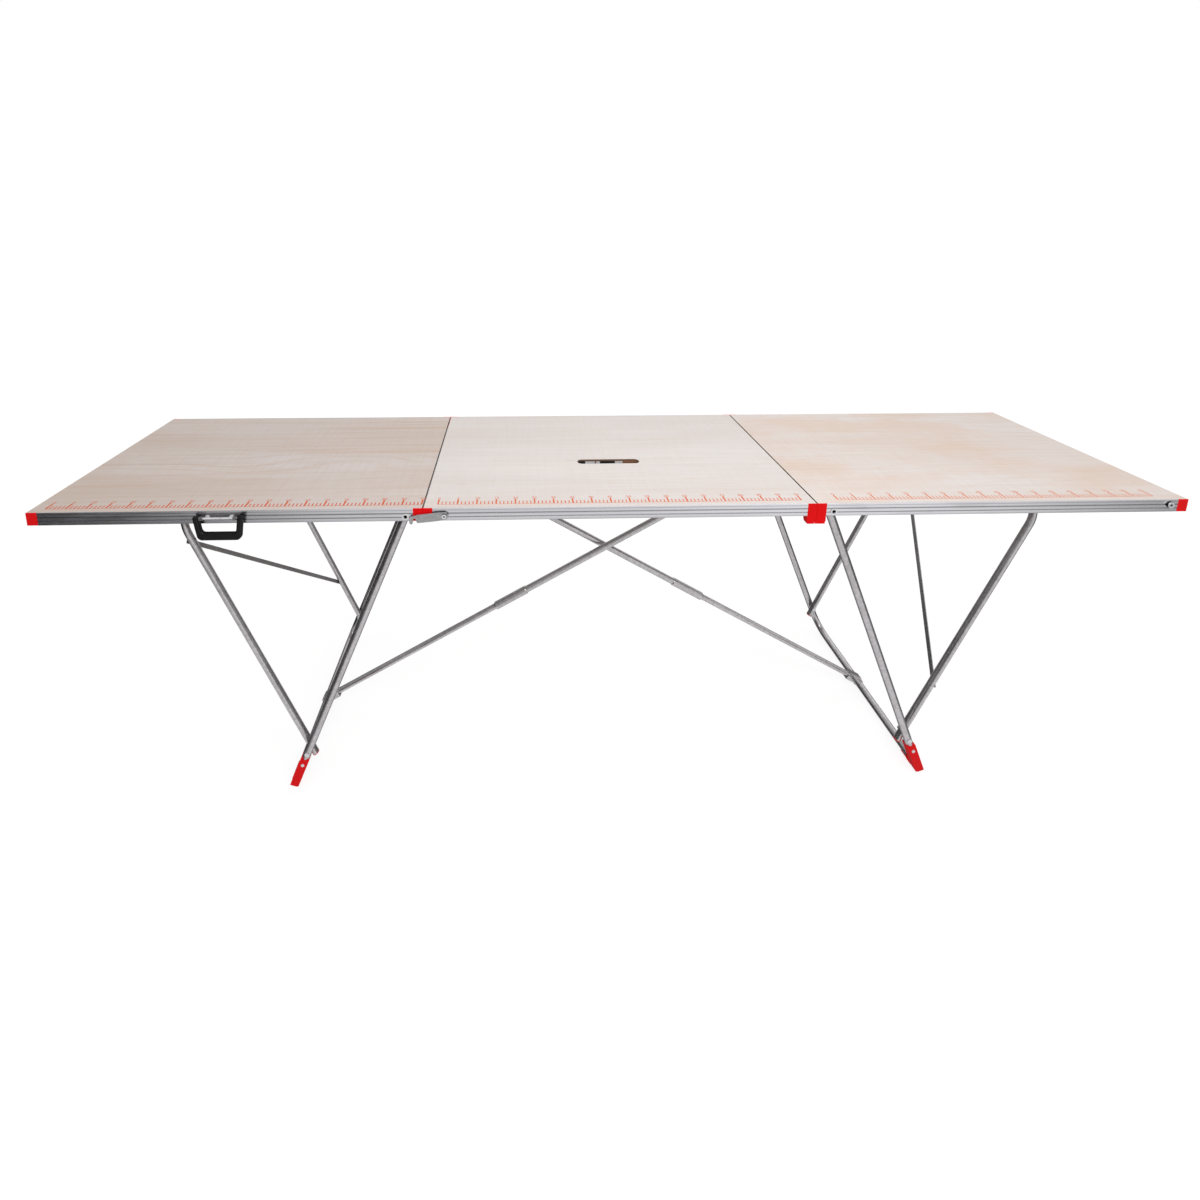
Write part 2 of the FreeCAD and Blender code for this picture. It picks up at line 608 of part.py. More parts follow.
    # tracks under the board and the glides that carry the bow's cross tube along them
    z_board = v("table_height") - v("board_thick")
    x_from = sign * v("bow_x") + sign * 30
    x_to = sign * (v("bow_x") - v("bow_travel")) - sign * 18
    x_lo = min(x_from, x_to)
    tracks, glides = [], []
    gap = v("glide_clear")
    for side in (-1, 1):
        gy = side * v("glide_y")
        long = abs(x_from - x_to)
        stem_t = box(size(long), c("track_stem"), size(2.0), (x_lo, gy - v("track_stem") / 2, z_board - 2.0))
        flange = box(size(long), c("track_wide"), c("track_flange"), (x_lo, gy - v("track_wide") / 2, z_board - 2.0 - v("track_flange")))
        tracks.append(fuse(stem_t, flange))
        g_top = z_board - 2.0 - v("track_flange") - gap
        g_low = C.z - v("bow_r") + 2.0
        gx = C.x - v("glide_long") / 2
        block = box(c("glide_long"), c("glide_wide"), size(g_top - g_low), (gx, gy - v("glide_wide") / 2, g_low))
        claws = []
        for hand in (-1, 1):
            y_c = gy + hand * v("glide_wide") / 2
            wall_w = (v("glide_wide") - v("track_wide")) / 2 - gap
            y0 = y_c - wall_w if hand > 0 else y_c
            claws.append(box(c("glide_long"), size(wall_w), size(z_board - gap - g_top + 1), (gx, y0, g_top - 1)))
            lip_w = wall_w + 3.0
            y0 = y_c - lip_w if hand > 0 else y_c
            claws.append(box(c("glide_long"), size(lip_w), size(2.0 - 2 * gap), (gx, y0, z_board - 2.0 + gap)))
        ring = cylinder(br + 0.09, v("glide_wide") + 10, (C.x, gy - v("glide_wide") / 2 - 5, C.z), (0, 1, 0))
        mouth = box(size(2 * v("bow_r") - 3.0), size(v("glide_wide") + 10), size(30), (C.x - v("bow_r") + 1.5, gy - v("glide_wide") / 2 - 5, C.z - 33))
        glides.append(cut(fuse(block, *claws), ring, mouth))
    node("%s_brace_tracks" % tag, group(*tracks))
    node("%s_brace_glides" % tag, group(*glides))

# ---------------------------------------------------------------- struts
pins = []
brackets = []
for tag, sign, sy in (("left", -1, -1), ("right", 1, 1)):
    # the left strut hooks the left floor bar and turns on a bracket at the right end of the middle panel
    Q = V(-sign * v("strut_x"), sy * v("strut_y"), v("table_height") - v("strut_drop"))
    D = V(sign * v("foot_x"), sy * v("strut_y"), v("leg_r"))      # the floor bar, which the strut's line passes a little above
    e = D + V(0, 0, v("hook_lift")) - Q
    e_long = e.Length
    e.normalize()
    ur, uw, lr, lw = c("upper_r"), c("upper_wall"), c("lower_r"), c("lower_wall")
    ew = (e.x, e.y, e.z)

    def on_strut(s):
        q = Q + e * s
        return (q.x, q.y, q.z)

    up_end = v("collar_to") - 8
    pin_bore = cylinder(c("strut_pin_r") + 0.08, 40, (Q.x, Q.y - 20, Q.z), (0, 1, 0))
    node("%s_strut_upper_tube" % tag, cut(cylinder(ur, up_end + 9, on_strut(-9), ew), cylinder(ur - uw, up_end + 19, on_strut(-14), ew), pin_bore))

    cf, ct = v("collar_from"), v("collar_to")
    shell = fuse(cylinder(c("collar_r"), ct - cf - 6, on_strut(cf + 3), ew))
    ends = []
    for s, way in ((cf + 3, -1), (ct - 3, 1)):
        cone = new("Part::Cone")
        bind(cone, "Radius1", c("collar_r"))
        cone.Radius2 = v("collar_r") - 1.6
        cone.Height = 3.0
        place(cone, on_strut(s), FreeCAD.Rotation(V(0, 0, 1), e * way))
        ends.append(cone)
    node("%s_strut_collar" % tag, cut(fuse(shell, *ends),
                                     cylinder(ur + 0.04, up_end - cf + 5.02, on_strut(cf - 5), ew),
                                     cylinder(lr + 0.35, 40, on_strut(ct - 20), ew)))

    lf = v("lower_from")
    hook_s = e_long - v("hook_from")
    low_end = e_long - 14.5
    node("%s_strut_lower_tube" % tag, cut(cylinder(lr, low_end - lf, on_strut(lf), ew), cylinder(lr - lw, low_end - lf + 10, on_strut(lf - 5), ew)))

    # hook fitting: a sleeve on the lower tube that ends in a hook over the floor bar
    hw_y, ht = v("hook_wide"), v("hook_tall")
    lift = e.cross(V(0, 1, 0))
    s_base = Q + e * hook_s - V(0, hw_y / 2, 0) - lift * (ht / 2)
    sleeve = box(c("hook_from"), c("hook_wide"), c("hook_tall"), (s_base.x, s_base.y, s_base.z), FreeCAD.Rotation(e, V(0, 1, 0), lift, "XYZ"))
    bar_room = c("leg_r") + c("hook_clear")
    ring = cylinder(bar_room + c("hook_wall"), c("hook_wide"), (D.x, D.y - hw_y / 2, D.z), (0, 1, 0))
    room = cylinder(bar_room, 60, (D.x, D.y - 30, D.z), (0, 1, 0))
    # the hook is open below: everything under a line through the bar's axis is taken away
    tilt = math.radians(18.0 * sign)
    line = V(math.cos(tilt), 0, math.sin(tilt))
    low_way = V(math.sin(tilt), 0, -math.cos(tilt))
    broad = low_way.cross(line)
    m_base = D - line * 60 - broad * 30
    mouth = box(size(120), size(60), size(60), (m_base.x, m_base.y, m_base.z), FreeCAD.Rotation(line, broad, low_way, "XYZ"))
    tube_room = cylinder(lr + 0.04, 120, on_strut(low_end - 119.96), ew)
    node("%s_strut_hook" % tag, cut(fuse(sleeve, ring), room, mouth, tube_room))

    # bracket: two cheeks under the board, with the pin that the strut turns on
    z_cross = v("table_height") - v("board_thick")
    cheek_in = v("upper_r") + 0.6
    bl = v("bracket_long")
    x_lo = Q.x - 8 if sign > 0 else Q.x + 8 - bl
    parts = [box(c("bracket_long"), size(2 * cheek_in + 2 * v("bracket_plate")), size(2.0), (x_lo, Q.y - cheek_in - v("bracket_plate"), z_cross - 2.0))]
    for hand in (-1, 1):
        y0 = Q.y + cheek_in if hand > 0 else Q.y - cheek_in - v("bracket_plate")
        cheek = box(size(17.0), c("bracket_plate"), size(z_cross - 1.0 - Q.z), (Q.x - 8.5, y0, Q.z))
        nose = cylinder(size(8.5), c("bracket_plate"), (Q.x, y0, Q.z), (0, 1, 0))
        parts += [cheek, nose]
    brackets.append(cut(fuse(*parts), cylinder(c("strut_pin_r") + 0.02, 60, (Q.x, Q.y - 30, Q.z), (0, 1, 0))))
    half = cheek_in + v("bracket_plate")
    pins.append(fuse(
        cylinder(c("strut_pin_r"), 2 * half, (Q.x, Q.y - half, Q.z), (0, 1, 0)),
        cylinder(size(6.0), 1.5, (Q.x, Q.y - half - 1.5, Q.z), (0, 1, 0)),
        cylinder(size(6.0), 1.5, (Q.x, Q.y + half, Q.z), (0, 1, 0)),
    ))
node("strut_brackets", group(*brackets))
node("strut_pins", group(*pins))

# ---------------------------------------------------------------- latch
lx, lz = v("latch_x"), v("table_height") - v("latch_drop")
face_y = -v("half_width") - v("latch_off") - v("latch_thick")
half = v("latch_tall") / 2
reach = c("latch_reach")
# outline in the lever's own x (towards the hook) and y (up), about its pivot: a bar that ends in a hook open downwards
lever_pts = [
    (-7.0, half - 4.0), (-2.0, half - 1.0), (30.0, half), (66.0, half - 0.5), (reach - 6, half - 3.5), (reach - 1, half - 8.0), (reach, 0.0),
    (reach - 0.5, -half + 1.0), (reach - 4, -half - 2.0), (reach - 8.0, -half), (reach - 9.5, -half + 5.0), (reach - 10.5, 0.5), (reach - 14.0, 2.5),
    (reach - 17.5, 0.5), (reach - 18.5, -half + 5.0), (reach - 20.0, -half + 0.5), (40.0, -half), (2.0, -half + 1.0), (-6.0, -half + 3.5), (-10.0, -3.0), (-10.0, 3.0),
]
lever, lever_pad = padded("latch_lever", "XY_Plane", [lever_pts], c("latch_thick"), circles=[(0, 0, c("latch_pin_r") + 0.08)])
tip = math.radians(5.5)
way = V(-math.cos(tip), 0, -math.sin(tip))      # from the pivot to the hook
lever_up = V(0, 1, 0).cross(way)
place(lever, (lx, face_y, lz), FreeCAD.Rotation(way, lever_up, V(0, 1, 0) * -1, "XYZ"))
node("latch_lever", lever)
rv = fuse(
    cylinder(c("latch_pin_r"), v("latch_off") + v("latch_thick") + 0.4 + 12, (lx, face_y - 0.4, lz), (0, 1, 0)),
    cylinder(size(7.0), c("latch_off") - 0.4, (lx, -v("half_width") - v("latch_off") + 0.4, lz), (0, 1, 0)),
    cylinder(size(7.0), 2.0, (lx, face_y - 0.4 - 2.0, lz), (0, 1, 0)),
)
node("latch_rivet", rv)

sx, sz = v("stud_x"), v("table_height") - v("stud_drop")
stud = fuse(
    cylinder(size(9.0), 1.5, (sx, -v("half_width") - 1.5, sz), (0, 1, 0)),
    cylinder(c("stud_r"), c("stud_long") - 2, (sx, -v("half_width") - v("stud_long") + 2, sz), (0, 1, 0)),
    cylinder(size(8.0), 2.0, (sx, -v("half_width") - v("stud_long"), sz), (0, 1, 0)),
)
node("latch_stud", cut(stud, cylinder(size(3.8), 3.5, (sx, -v("half_width") - v("stud_long") - 0.5, sz), (0, 1, 0))))

# ---------------------------------------------------------------- carrying handle
hx, hz = v("handle_x"), v("table_height") - v("handle_drop")
hy = -v("half_width") - v("handle_off")
pl, pt_, pk = c("plate_long"), c("plate_tall"), c("plate_thick")
plate = box(pl, pk, pt_, (hx - v("plate_long") / 2, -v("half_width") - v("plate_thick"), hz - v("plate_tall") / 2))
ears = []
ear_long = 9.0
arm_in = v("handle_wide") / 2 - v("handle_arm")
for hand in (-1, 1):
    x1 = hx + hand * (arm_in - 2.4)
    x0 = x1 - ear_long if hand > 0 else x1
    ears.append(cylinder(size(5.0), ear_long, (x0, hy, hz), (1, 0, 0)))
    ears.append(box(size(ear_long), size(v("handle_off") - 1.0), size(8.0), (x0, hy, hz - 4.0)))
rod_half = v("handle_wide") / 2 - 3.0
rod_hole = cylinder(size(2.52), 2 * rod_half + 20, (hx - rod_half - 10, hy, hz), (1, 0, 0))
screw_holes = [cylinder(size(2.55), 20, (hx + hand * 30.0, -v("half_width") - 10, hz), (0, 1, 0)) for hand in (-1, 1)]
node("handle_base", cut(fuse(plate, *ears), rod_hole, *screw_holes))
rod = cylinder(size(2.5), 2 * rod_half, (hx - rod_half, hy, hz), (1, 0, 0))
studs = [fuse(
    cylinder(size(2.5), 1.8, (hx + hand * 30.0, -v("half_width") - v("plate_thick"), hz), (0, 1, 0)),
    cylinder(size(5.5), 2.0, (hx + hand * 30.0, -v("half_width") - v("plate_thick") - 2.0, hz), (0, 1, 0)),
) for hand in (-1, 1)]
node("handle_rivets", group(*([rod] + studs)))

# the bail: a rounded, slightly tapered loop
w2 = v("handle_wide") / 2
ht = v("handle_high")
arm = v("handle_arm")
bar = v("handle_bar")
outline = [(-w2, 6.5), (-w2 + 9.0, -ht), (w2 - 9.0, -ht), (w2, 6.5), (w2 - arm, 6.5), (w2 - arm - 6.5, -ht + bar), (-w2 + arm + 6.5, -ht + bar), (-w2 + arm, 6.5)]
bail, bail_pad = padded("handle_grip", "XZ_Plane", [outline], c("handle_thick"))
f1 = rounded(bail, bail_pad, lambda e: along((0, 1, 0))(e) and e.Vertexes[0].Point.z < -ht + 1, size(14.0))
f2 = rounded(bail, f1, lambda e: along((0, 1, 0))(e) and -ht + 1 < e.Vertexes[0].Point.z < 0, size(9.0))
f3 = rounded(bail, f2, lambda e: along((0, 1, 0))(e) and e.Vertexes[0].Point.z > 0, size(4.0))
f4 = rounded(bail, f3, lambda e: abs(e.BoundBox.YLength) < 1e-6, size(4.0))
doc.recompute()
yb = bail.Shape.BoundBox
mid_y = (yb.YMin + yb.YMax) / 2
place(bail, (hx, hy - mid_y, hz))
crown = cut(box(size(2 * w2 + 20), size(40), size(30), (hx - w2 - 10, hy - 20, hz)), cylinder(size(6.5), 2 * w2 + 20, (hx - w2 - 10, hy, hz), (1, 0, 0)))
node("handle_grip", cut(bail, crown, cylinder(size(2.58), 2 * w2 + 20, (hx - w2 - 10, hy, hz), (1, 0, 0))))

# ---------------------------------------------------------------- check and write
doc.recompute()
bad = [o.Label for o in doc.Objects if "Invalid" in o.State or "Error" in o.State]
if bad:
    raise SystemExit("failed objects: " + ", ".join(bad))
for name, obj in NODES:
    if obj.Shape.isNull() or not obj.Shape.isValid() or not obj.Shape.Solids:
        raise SystemExit("bad shape: " + name)
os.makedirs("parts", exist_ok=True)
for name, obj in NODES:
    obj.Shape.exportStep(os.path.join("parts", name + ".step"))
low = V(1e9, 1e9, 1e9)
high = V(-1e9, -1e9, -1e9)
for name, obj in NODES:
    q = obj.Shape.BoundBox
    low = V(min(low.x, q.XMin), min(low.y, q.YMin), min(low.z, q.ZMin))
    high = V(max(high.x, q.XMax), max(high.y, q.YMax), max(high.z, q.ZMax))
    print("%-28s solids %d volume %.1f" % (name, len(obj.Shape.Solids), obj.Shape.Volume))
print("nodes", len(NODES), "box", low, high)
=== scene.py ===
import json
import math

import bmesh
import bpy
from mathutils import Matrix, Vector


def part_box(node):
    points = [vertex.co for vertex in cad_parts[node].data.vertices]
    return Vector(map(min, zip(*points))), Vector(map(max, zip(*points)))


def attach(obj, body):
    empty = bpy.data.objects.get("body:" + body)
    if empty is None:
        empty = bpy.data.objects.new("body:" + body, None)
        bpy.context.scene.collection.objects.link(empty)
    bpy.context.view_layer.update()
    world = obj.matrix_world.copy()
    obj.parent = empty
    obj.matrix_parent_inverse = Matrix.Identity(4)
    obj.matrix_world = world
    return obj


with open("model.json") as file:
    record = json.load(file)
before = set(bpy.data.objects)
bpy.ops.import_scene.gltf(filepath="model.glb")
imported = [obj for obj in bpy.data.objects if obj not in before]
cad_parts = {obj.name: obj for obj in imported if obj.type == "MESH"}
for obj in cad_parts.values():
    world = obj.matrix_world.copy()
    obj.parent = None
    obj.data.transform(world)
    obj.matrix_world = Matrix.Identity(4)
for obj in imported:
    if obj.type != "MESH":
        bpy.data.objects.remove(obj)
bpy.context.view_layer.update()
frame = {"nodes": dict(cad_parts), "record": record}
nodes = frame["nodes"]
scene = bpy.context.scene


# ------------------------------------------------------------------ node helpers
class Shader:
    """A material under construction: small helpers around its node tree."""

    def __init__(self, name):
        self.mat = bpy.data.materials.new(name)
        self.mat.use_nodes = True
        self.tree = self.mat.node_tree
        self.bsdf = self.tree.nodes["Principled BSDF"]
        self.coord = self.add("ShaderNodeTexCoord").outputs["Object"]

    def add(self, kind, **values):
        n = self.tree.nodes.new(kind)
        for k, val in values.items():
            setattr(n, k, val)
        return n

    def link(self, a, b):
        self.tree.links.new(a, b)

    def put(self, **values):
        for k, val in values.items():
            self.bsdf.inputs[k.replace("_", " ")].default_value = val

    def mapped(self, scale=(1, 1, 1), location=(0, 0, 0), rotation=(0, 0, 0)):
        n = self.add("ShaderNodeMapping")
        n.inputs["Scale"].default_value = scale
        n.inputs["Location"].default_value = location
        n.inputs["Rotation"].default_value = rotation
        self.link(self.coord, n.inputs["Vector"])
        return n.outputs["Vector"]

    def noise(self, vector, scale=1.0, detail=4.0, rough=0.5, distortion=0.0):
        n = self.add("ShaderNodeTexNoise")
        n.inputs["Scale"].default_value = scale
        n.inputs["Detail"].default_value = detail
        n.inputs["Roughness"].default_value = rough
        n.inputs["Distortion"].default_value = distortion
        self.link(vector, n.inputs["Vector"])
        return n.outputs["Fac"]

    def ramp(self, fac, stops):
        n = self.add("ShaderNodeValToRGB")
        e = n.color_ramp.elements
        while len(e) < len(stops):
            e.new(0.5)
        for item, (pos, col) in zip(e, stops):
            item.position = pos
            item.color = (*col, 1) if len(col) == 3 else col
        self.link(fac, n.inputs["Fac"])
        return n.outputs["Color"]

    def math(self, op, a, b=None, clamp=False):
        n = self.add("ShaderNodeMath", operation=op, use_clamp=clamp)
        for i, x in enumerate((a, b)):
            if x is None:
                continue
            if isinstance(x, (int, float)):
                n.inputs[i].default_value = x
            else:
                self.link(x, n.inputs[i])
        return n.outputs["Value"]

    def mix(self, fac, a, b, blend="MIX"):
        n = self.add("ShaderNodeMix", data_type="RGBA", blend_type=blend)
        for sock, x in ((n.inputs["Factor"], fac), (n.inputs[6], a), (n.inputs[7], b)):
            if isinstance(x, (int, float)):
                sock.default_value = x
            elif isinstance(x, tuple):
                sock.default_value = (*x, 1)
            else:
                self.link(x, sock)
        return n.outputs[2]

    def remap(self, fac, lo, hi, a=0.0, b=1.0):
        n = self.add("ShaderNodeMapRange")
        for k, val in (("From Min", lo), ("From Max", hi), ("To Min", a), ("To Max", b)):
            n.inputs[k].default_value = val
        self.link(fac, n.inputs["Value"])
        return n.outputs["Result"]

    def bump(self, height, strength, distance):
        n = self.add("ShaderNodeBump")
        n.inputs["Strength"].default_value = strength
        n.inputs["Distance"].default_value = distance
        self.link(height, n.inputs["Height"])
        self.link(n.outputs["Normal"], self.bsdf.inputs["Normal"])

    def split(self, vector):
        n = self.add("ShaderNodeSeparateXYZ")
        self.link(vector, n.inputs["Vector"])
        return n.outputs

    def color(self, sock):
        self.link(sock, self.bsdf.inputs["Base Color"])

    def rough(self, sock):
        self.link(sock, self.bsdf.inputs["Roughness"])


def srgb(r, g, b):
    """A colour given as 0-255 display values, as scene-linear values."""
    def lin(x):
        x /= 255
        return x / 12.92 if x <= 0.04045 else ((x + 0.055) / 1.055) ** 2.4
    return (lin(r), lin(g), lin(b))


# ------------------------------------------------------------------ materials
RAIL_LOW, RAIL_TOP = (p.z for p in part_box("middle_front_rail"))


def plywood(name, base, warm, pale, shift, figure, ripple, thread, blotch):
    """Thin rotary-cut veneer: long figure along X, fine pores, a faint cross ripple, and ply layers on the cut edges,
    darkened further as painted shade for the gaps between boards.
    """
    s = Shader(name)
    off = (shift, shift * 0.37, 0)
    # broad bands of tone along the grain
    broad = s.noise(s.mapped((0.55, 2.6, 1), off), 1.6, 3, 0.5)
    tone = s.ramp(broad, [(0.32, warm), (0.5, base), (0.68, pale)])
    # cathedral figure: growth rings cut at a low angle
    wob = s.noise(s.mapped((0.75, 2.4, 1), (shift * 1.7, 0.4, 0)), 1.3, 2, 0.45)
    y = s.split(s.mapped((1, 1, 1), off))[1]
    rings = s.math("ADD", s.math("MULTIPLY", wob, 12.0), s.math("MULTIPLY", y, 34.0))
    wave = s.math("SINE", s.math("MULTIPLY", rings, 6.2832))
    fine = s.noise(s.mapped((2.2, 60, 1), off), 1.0, 5, 0.6)
    lines = s.math("MULTIPLY", s.remap(wave, 0.40, 1.0, 0, 1), s.remap(fine, 0.3, 0.7, 0, 1), clamp=True)
    patch = s.remap(s.noise(s.mapped((0.9, 1.8, 1), (shift * 2.3, 1.1, 0)), 1.2, 2, 0.5), 0.42, 0.62, 0, 1)
    lines = s.math("MULTIPLY", s.math("MULTIPLY", lines, patch), figure, clamp=True)
    col = s.mix(lines, tone, tuple(c * k for c, k in zip(warm, (0.86, 0.74, 0.62))))
    # warm blotches where the veneer is thin, thin brown threads along the grain, and a few small knots
    stain = s.noise(s.mapped((2.6, 6.5, 1), (shift * 0.9, 2.3, 0)), 1.0, 4, 0.6)
    col = s.mix(s.remap(stain, 0.47, 0.63, 0.0, blotch), col, tuple(c * k for c, k in zip(warm, (1.02, 0.90, 0.79))))
    threads = s.noise(s.mapped((0.9, 46, 1), (shift * 1.3, 0.7, 0)), 1.0, 6, 0.66, 0.25)
    col = s.mix(s.remap(threads, 0.50, 0.66, 0.0, thread), col, tuple(c * k for c, k in zip(warm, (0.90, 0.78, 0.65))))
    knots = s.noise(s.mapped((9, 26, 1), (shift * 0.6, 1.9, 0)), 1.0, 3, 0.5)
    col = s.mix(s.remap(knots, 0.70, 0.80, 0.0, 0.5), col, tuple(c * k for c, k in zip(warm, (0.84, 0.66, 0.50))))
    # fibre streaks
    streak = s.noise(s.mapped((3.0, 190, 1), off), 1.0, 4, 0.65)
    col = s.mix(s.remap(streak, 0.35, 0.7, 0.0, 0.22), col, tuple(c * 0.86 for c in warm))
    # cross ripple of the veneer
    rip = s.noise(s.mapped((95, 9, 1), off), 1.0, 2, 0.5)
    col = s.mix(s.remap(rip, 0.4, 0.66, 0.0, ripple), col, tuple(c * k for c, k in zip(warm, (0.93, 0.86, 0.78))))
    # small pores and specks
    pore = s.noise(s.mapped((140, 900, 1), off), 1.0, 2, 0.5)
    col = s.mix(s.remap(pore, 0.64, 0.78, 0.0, 0.28), col, tuple(c * 0.62 for c in warm))
    # ply layers on the edges, darkened well below the ply colour as painted shade in the gaps between boards
    geo = s.add("ShaderNodeNewGeometry")
    nz = s.math("ABSOLUTE", s.split(geo.outputs["Normal"])[2])
    edge = s.math("LESS_THAN", nz, 0.5)
    z = s.split(s.coord)[2]
    ply = s.math("GREATER_THAN", s.math("FRACT", s.math("MULTIPLY", s.math("SUBTRACT", z, 0.863), 500.0)), 0.5)
    plies_and_gap_shade = s.mix(ply, tuple(c * k for c, k in zip(warm, (0.30, 0.22, 0.16))), tuple(c * k for c, k in zip(warm, (0.17, 0.11, 0.07))))
    s.color(s.mix(edge, col, plies_and_gap_shade))
    s.rough(s.remap(streak, 0.3, 0.75, 0.42, 0.58))
    s.put(Specular_IOR_Level=0.32)
    height = s.math("ADD", s.math("MULTIPLY", streak, 0.6), s.math("MULTIPLY", pore, 0.4))
    s.bump(height, 0.12, 0.0006)
    return s.mat


def extruded_aluminium(name):
    """Satin extrusion: die lines along X, painted shade at the foot, in the two grooves and under the top lip across
    the face, a few cloudy rubs.
    """
    s = Shader(name)
    along = s.noise(s.mapped((1.4, 800, 800)), 1.0, 4, 0.6)
    cloud = s.noise(s.mapped((6, 30, 30)), 1.0, 4, 0.55)
    col = s.mix(s.remap(along, 0.3, 0.7), srgb(220, 219, 224), srgb(244, 243, 247))
    col = s.mix(s.remap(cloud, 0.56, 0.75, 0.0, 0.30), col, srgb(186, 185, 190))
    # height across the face, 0 at the rail's foot and 1 at its top edge
    face = s.remap(s.split(s.coord)[2], RAIL_LOW, RAIL_TOP)
    # painted shade: darker bands at the rail's foot, in the two grooves and under the top lip, multiplied into the
    # colour
    painted_groove_shade = s.ramp(face, [(0.0, (0.55,) * 3), (0.07, (0.86,) * 3), (0.24, (1.0,) * 3), (0.275, (0.47,) * 3), (0.335, (0.47,) * 3),
                         (0.37, (1.0,) * 3), (0.53, (0.93,) * 3), (0.575, (0.50,) * 3), (0.645, (0.50,) * 3), (0.68, (1.0,) * 3),
                         (0.83, (0.92,) * 3), (0.86, (0.50,) * 3), (0.90, (1.0,) * 3)])
    col = s.mix(1.0, col, painted_groove_shade, "MULTIPLY")
    s.color(col)
    s.rough(s.math("ADD", s.remap(along, 0.3, 0.7, 0.20, 0.32), s.remap(cloud, 0.5, 0.8, 0.0, 0.10)))
    s.put(Metallic=1.0, Anisotropic=0.35)
    s.bump(along, 0.10, 0.0002)
    return s.mat


def galvanised(name, dark, light, rough, metal=0.92, painted_bore_shade=None, painted_dimple_shade=None):
    """Zinc on steel: spangle, clouds and scuffs. bore is the distance from the table's middle plane inside which a
    drilled hole gets painted shade;
    eye is the axis and size of a head whose dimple and rim get painted shade."""
    s = Shader(name)
    spangle = s.add("ShaderNodeTexVoronoi", feature="F1")
    spangle.inputs["Scale"].default_value = 170
    s.link(s.mapped((1, 1, 1)), spangle.inputs["Vector"])
    cell = s.split(spangle.outputs["Color"])[0]
    cloud = s.noise(s.mapped((9, 9, 9)), 1.0, 5, 0.6)
    fine = s.noise(s.mapped((420, 420, 420)), 1.0, 2, 0.5)
    tone = s.math("ADD", s.math("MULTIPLY", cell, 0.35), s.math("MULTIPLY", cloud, 0.65))
    col = s.ramp(tone, [(0.25, dark), (0.75, light)])
    scuff = s.remap(s.noise(s.mapped((38, 38, 7)), 1.0, 4, 0.7), 0.62, 0.78, 0.0, 0.45)
    col = s.mix(scuff, col, tuple(c * 0.62 for c in dark))
    if painted_bore_shade is not None:
        # painted shade: inside the drilled hole the colour turns near black
        bore_shade_mask = s.remap(s.math("ABSOLUTE", s.split(s.coord)[1]), painted_bore_shade, painted_bore_shade - 0.0008)
        col = s.mix(bore_shade_mask, col, srgb(34, 31, 30))
    if painted_dimple_shade is not None:
        # painted shade: the head's colour is darkened in its central dimple and round its rim
        x, _, z = s.split(s.coord)
        dx, dz = s.math("SUBTRACT", x, painted_dimple_shade[0]), s.math("SUBTRACT", z, painted_dimple_shade[1])
        far_out = s.math("SQRT", s.math("ADD", s.math("MULTIPLY", dx, dx), s.math("MULTIPLY", dz, dz)))
        shade = s.math("ADD", s.remap(far_out, painted_dimple_shade[2] * 0.42, painted_dimple_shade[2] * 0.30), s.remap(far_out, painted_dimple_shade[2] * 0.86, painted_dimple_shade[2] * 0.98), clamp=True)
        col = s.mix(shade, col, srgb(96, 93, 93))
    s.color(col)
    s.rough(s.math("ADD", s.remap(cloud, 0.3, 0.7, rough - 0.06, rough + 0.08), s.math("MULTIPLY", fine, 0.06)))
    s.put(Metallic=metal)
    s.bump(fine, 0.06, 0.0003)
    return s.mat


def moulded(name, base, shade, rough, grain, spec=0.45):
    """Moulded plastic: fine spark-eroded grain, faint flow marks, edges a little scuffed."""
    s = Shader(name)
    flow = s.noise(s.mapped((22, 22, 22)), 1.0, 4, 0.55)
    fine = s.noise(s.mapped((1500, 1500, 1500)), 1.0, 2, 0.5)
    col = s.ramp(flow, [(0.3, shade), (0.7, base)])
    scuff = s.remap(s.noise(s.mapped((90, 90, 90)), 1.0, 5, 0.7), 0.66, 0.8, 0.0, 0.18)
    col = s.mix(scuff, col, tuple(min(1.0, c * 1.5 + 0.02) for c in base))
    s.color(col)
    s.rough(s.remap(flow, 0.3, 0.7, rough - 0.05, rough + 0.07))
    s.put(Specular_IOR_Level=spec)
    s.bump(fine, grain, 0.0002)
    return s.mat


def raw_wood(name, base, dark):
    """Rough softwood batten, grain along X."""
    s = Shader(name)
    grain = s.noise(s.mapped((6, 220, 220)), 1.0, 5, 0.65)
    s.color(s.ramp(grain, [(0.3, dark), (0.7, base)]))
    s.rough(s.remap(grain, 0.3, 0.7, 0.6, 0.8))
    s.bump(grain, 0.2, 0.0004)
    return s.mat


def ink(name, color):
    """Printed rule: thin ink that takes some of the wood's streaks and wears through in places."""
    s = Shader(name)
    wear = s.noise(s.mapped((60, 600, 60)), 1.0, 4, 0.6)
    s.color(s.ramp(wear, [(0.45, color), (0.95, tuple(c * 0.6 + w * 0.4 for c, w in zip(color, srgb(228, 214, 203))))]))
    s.put(Roughness=0.6, Specular_IOR_Level=0.2)
    return s.mat


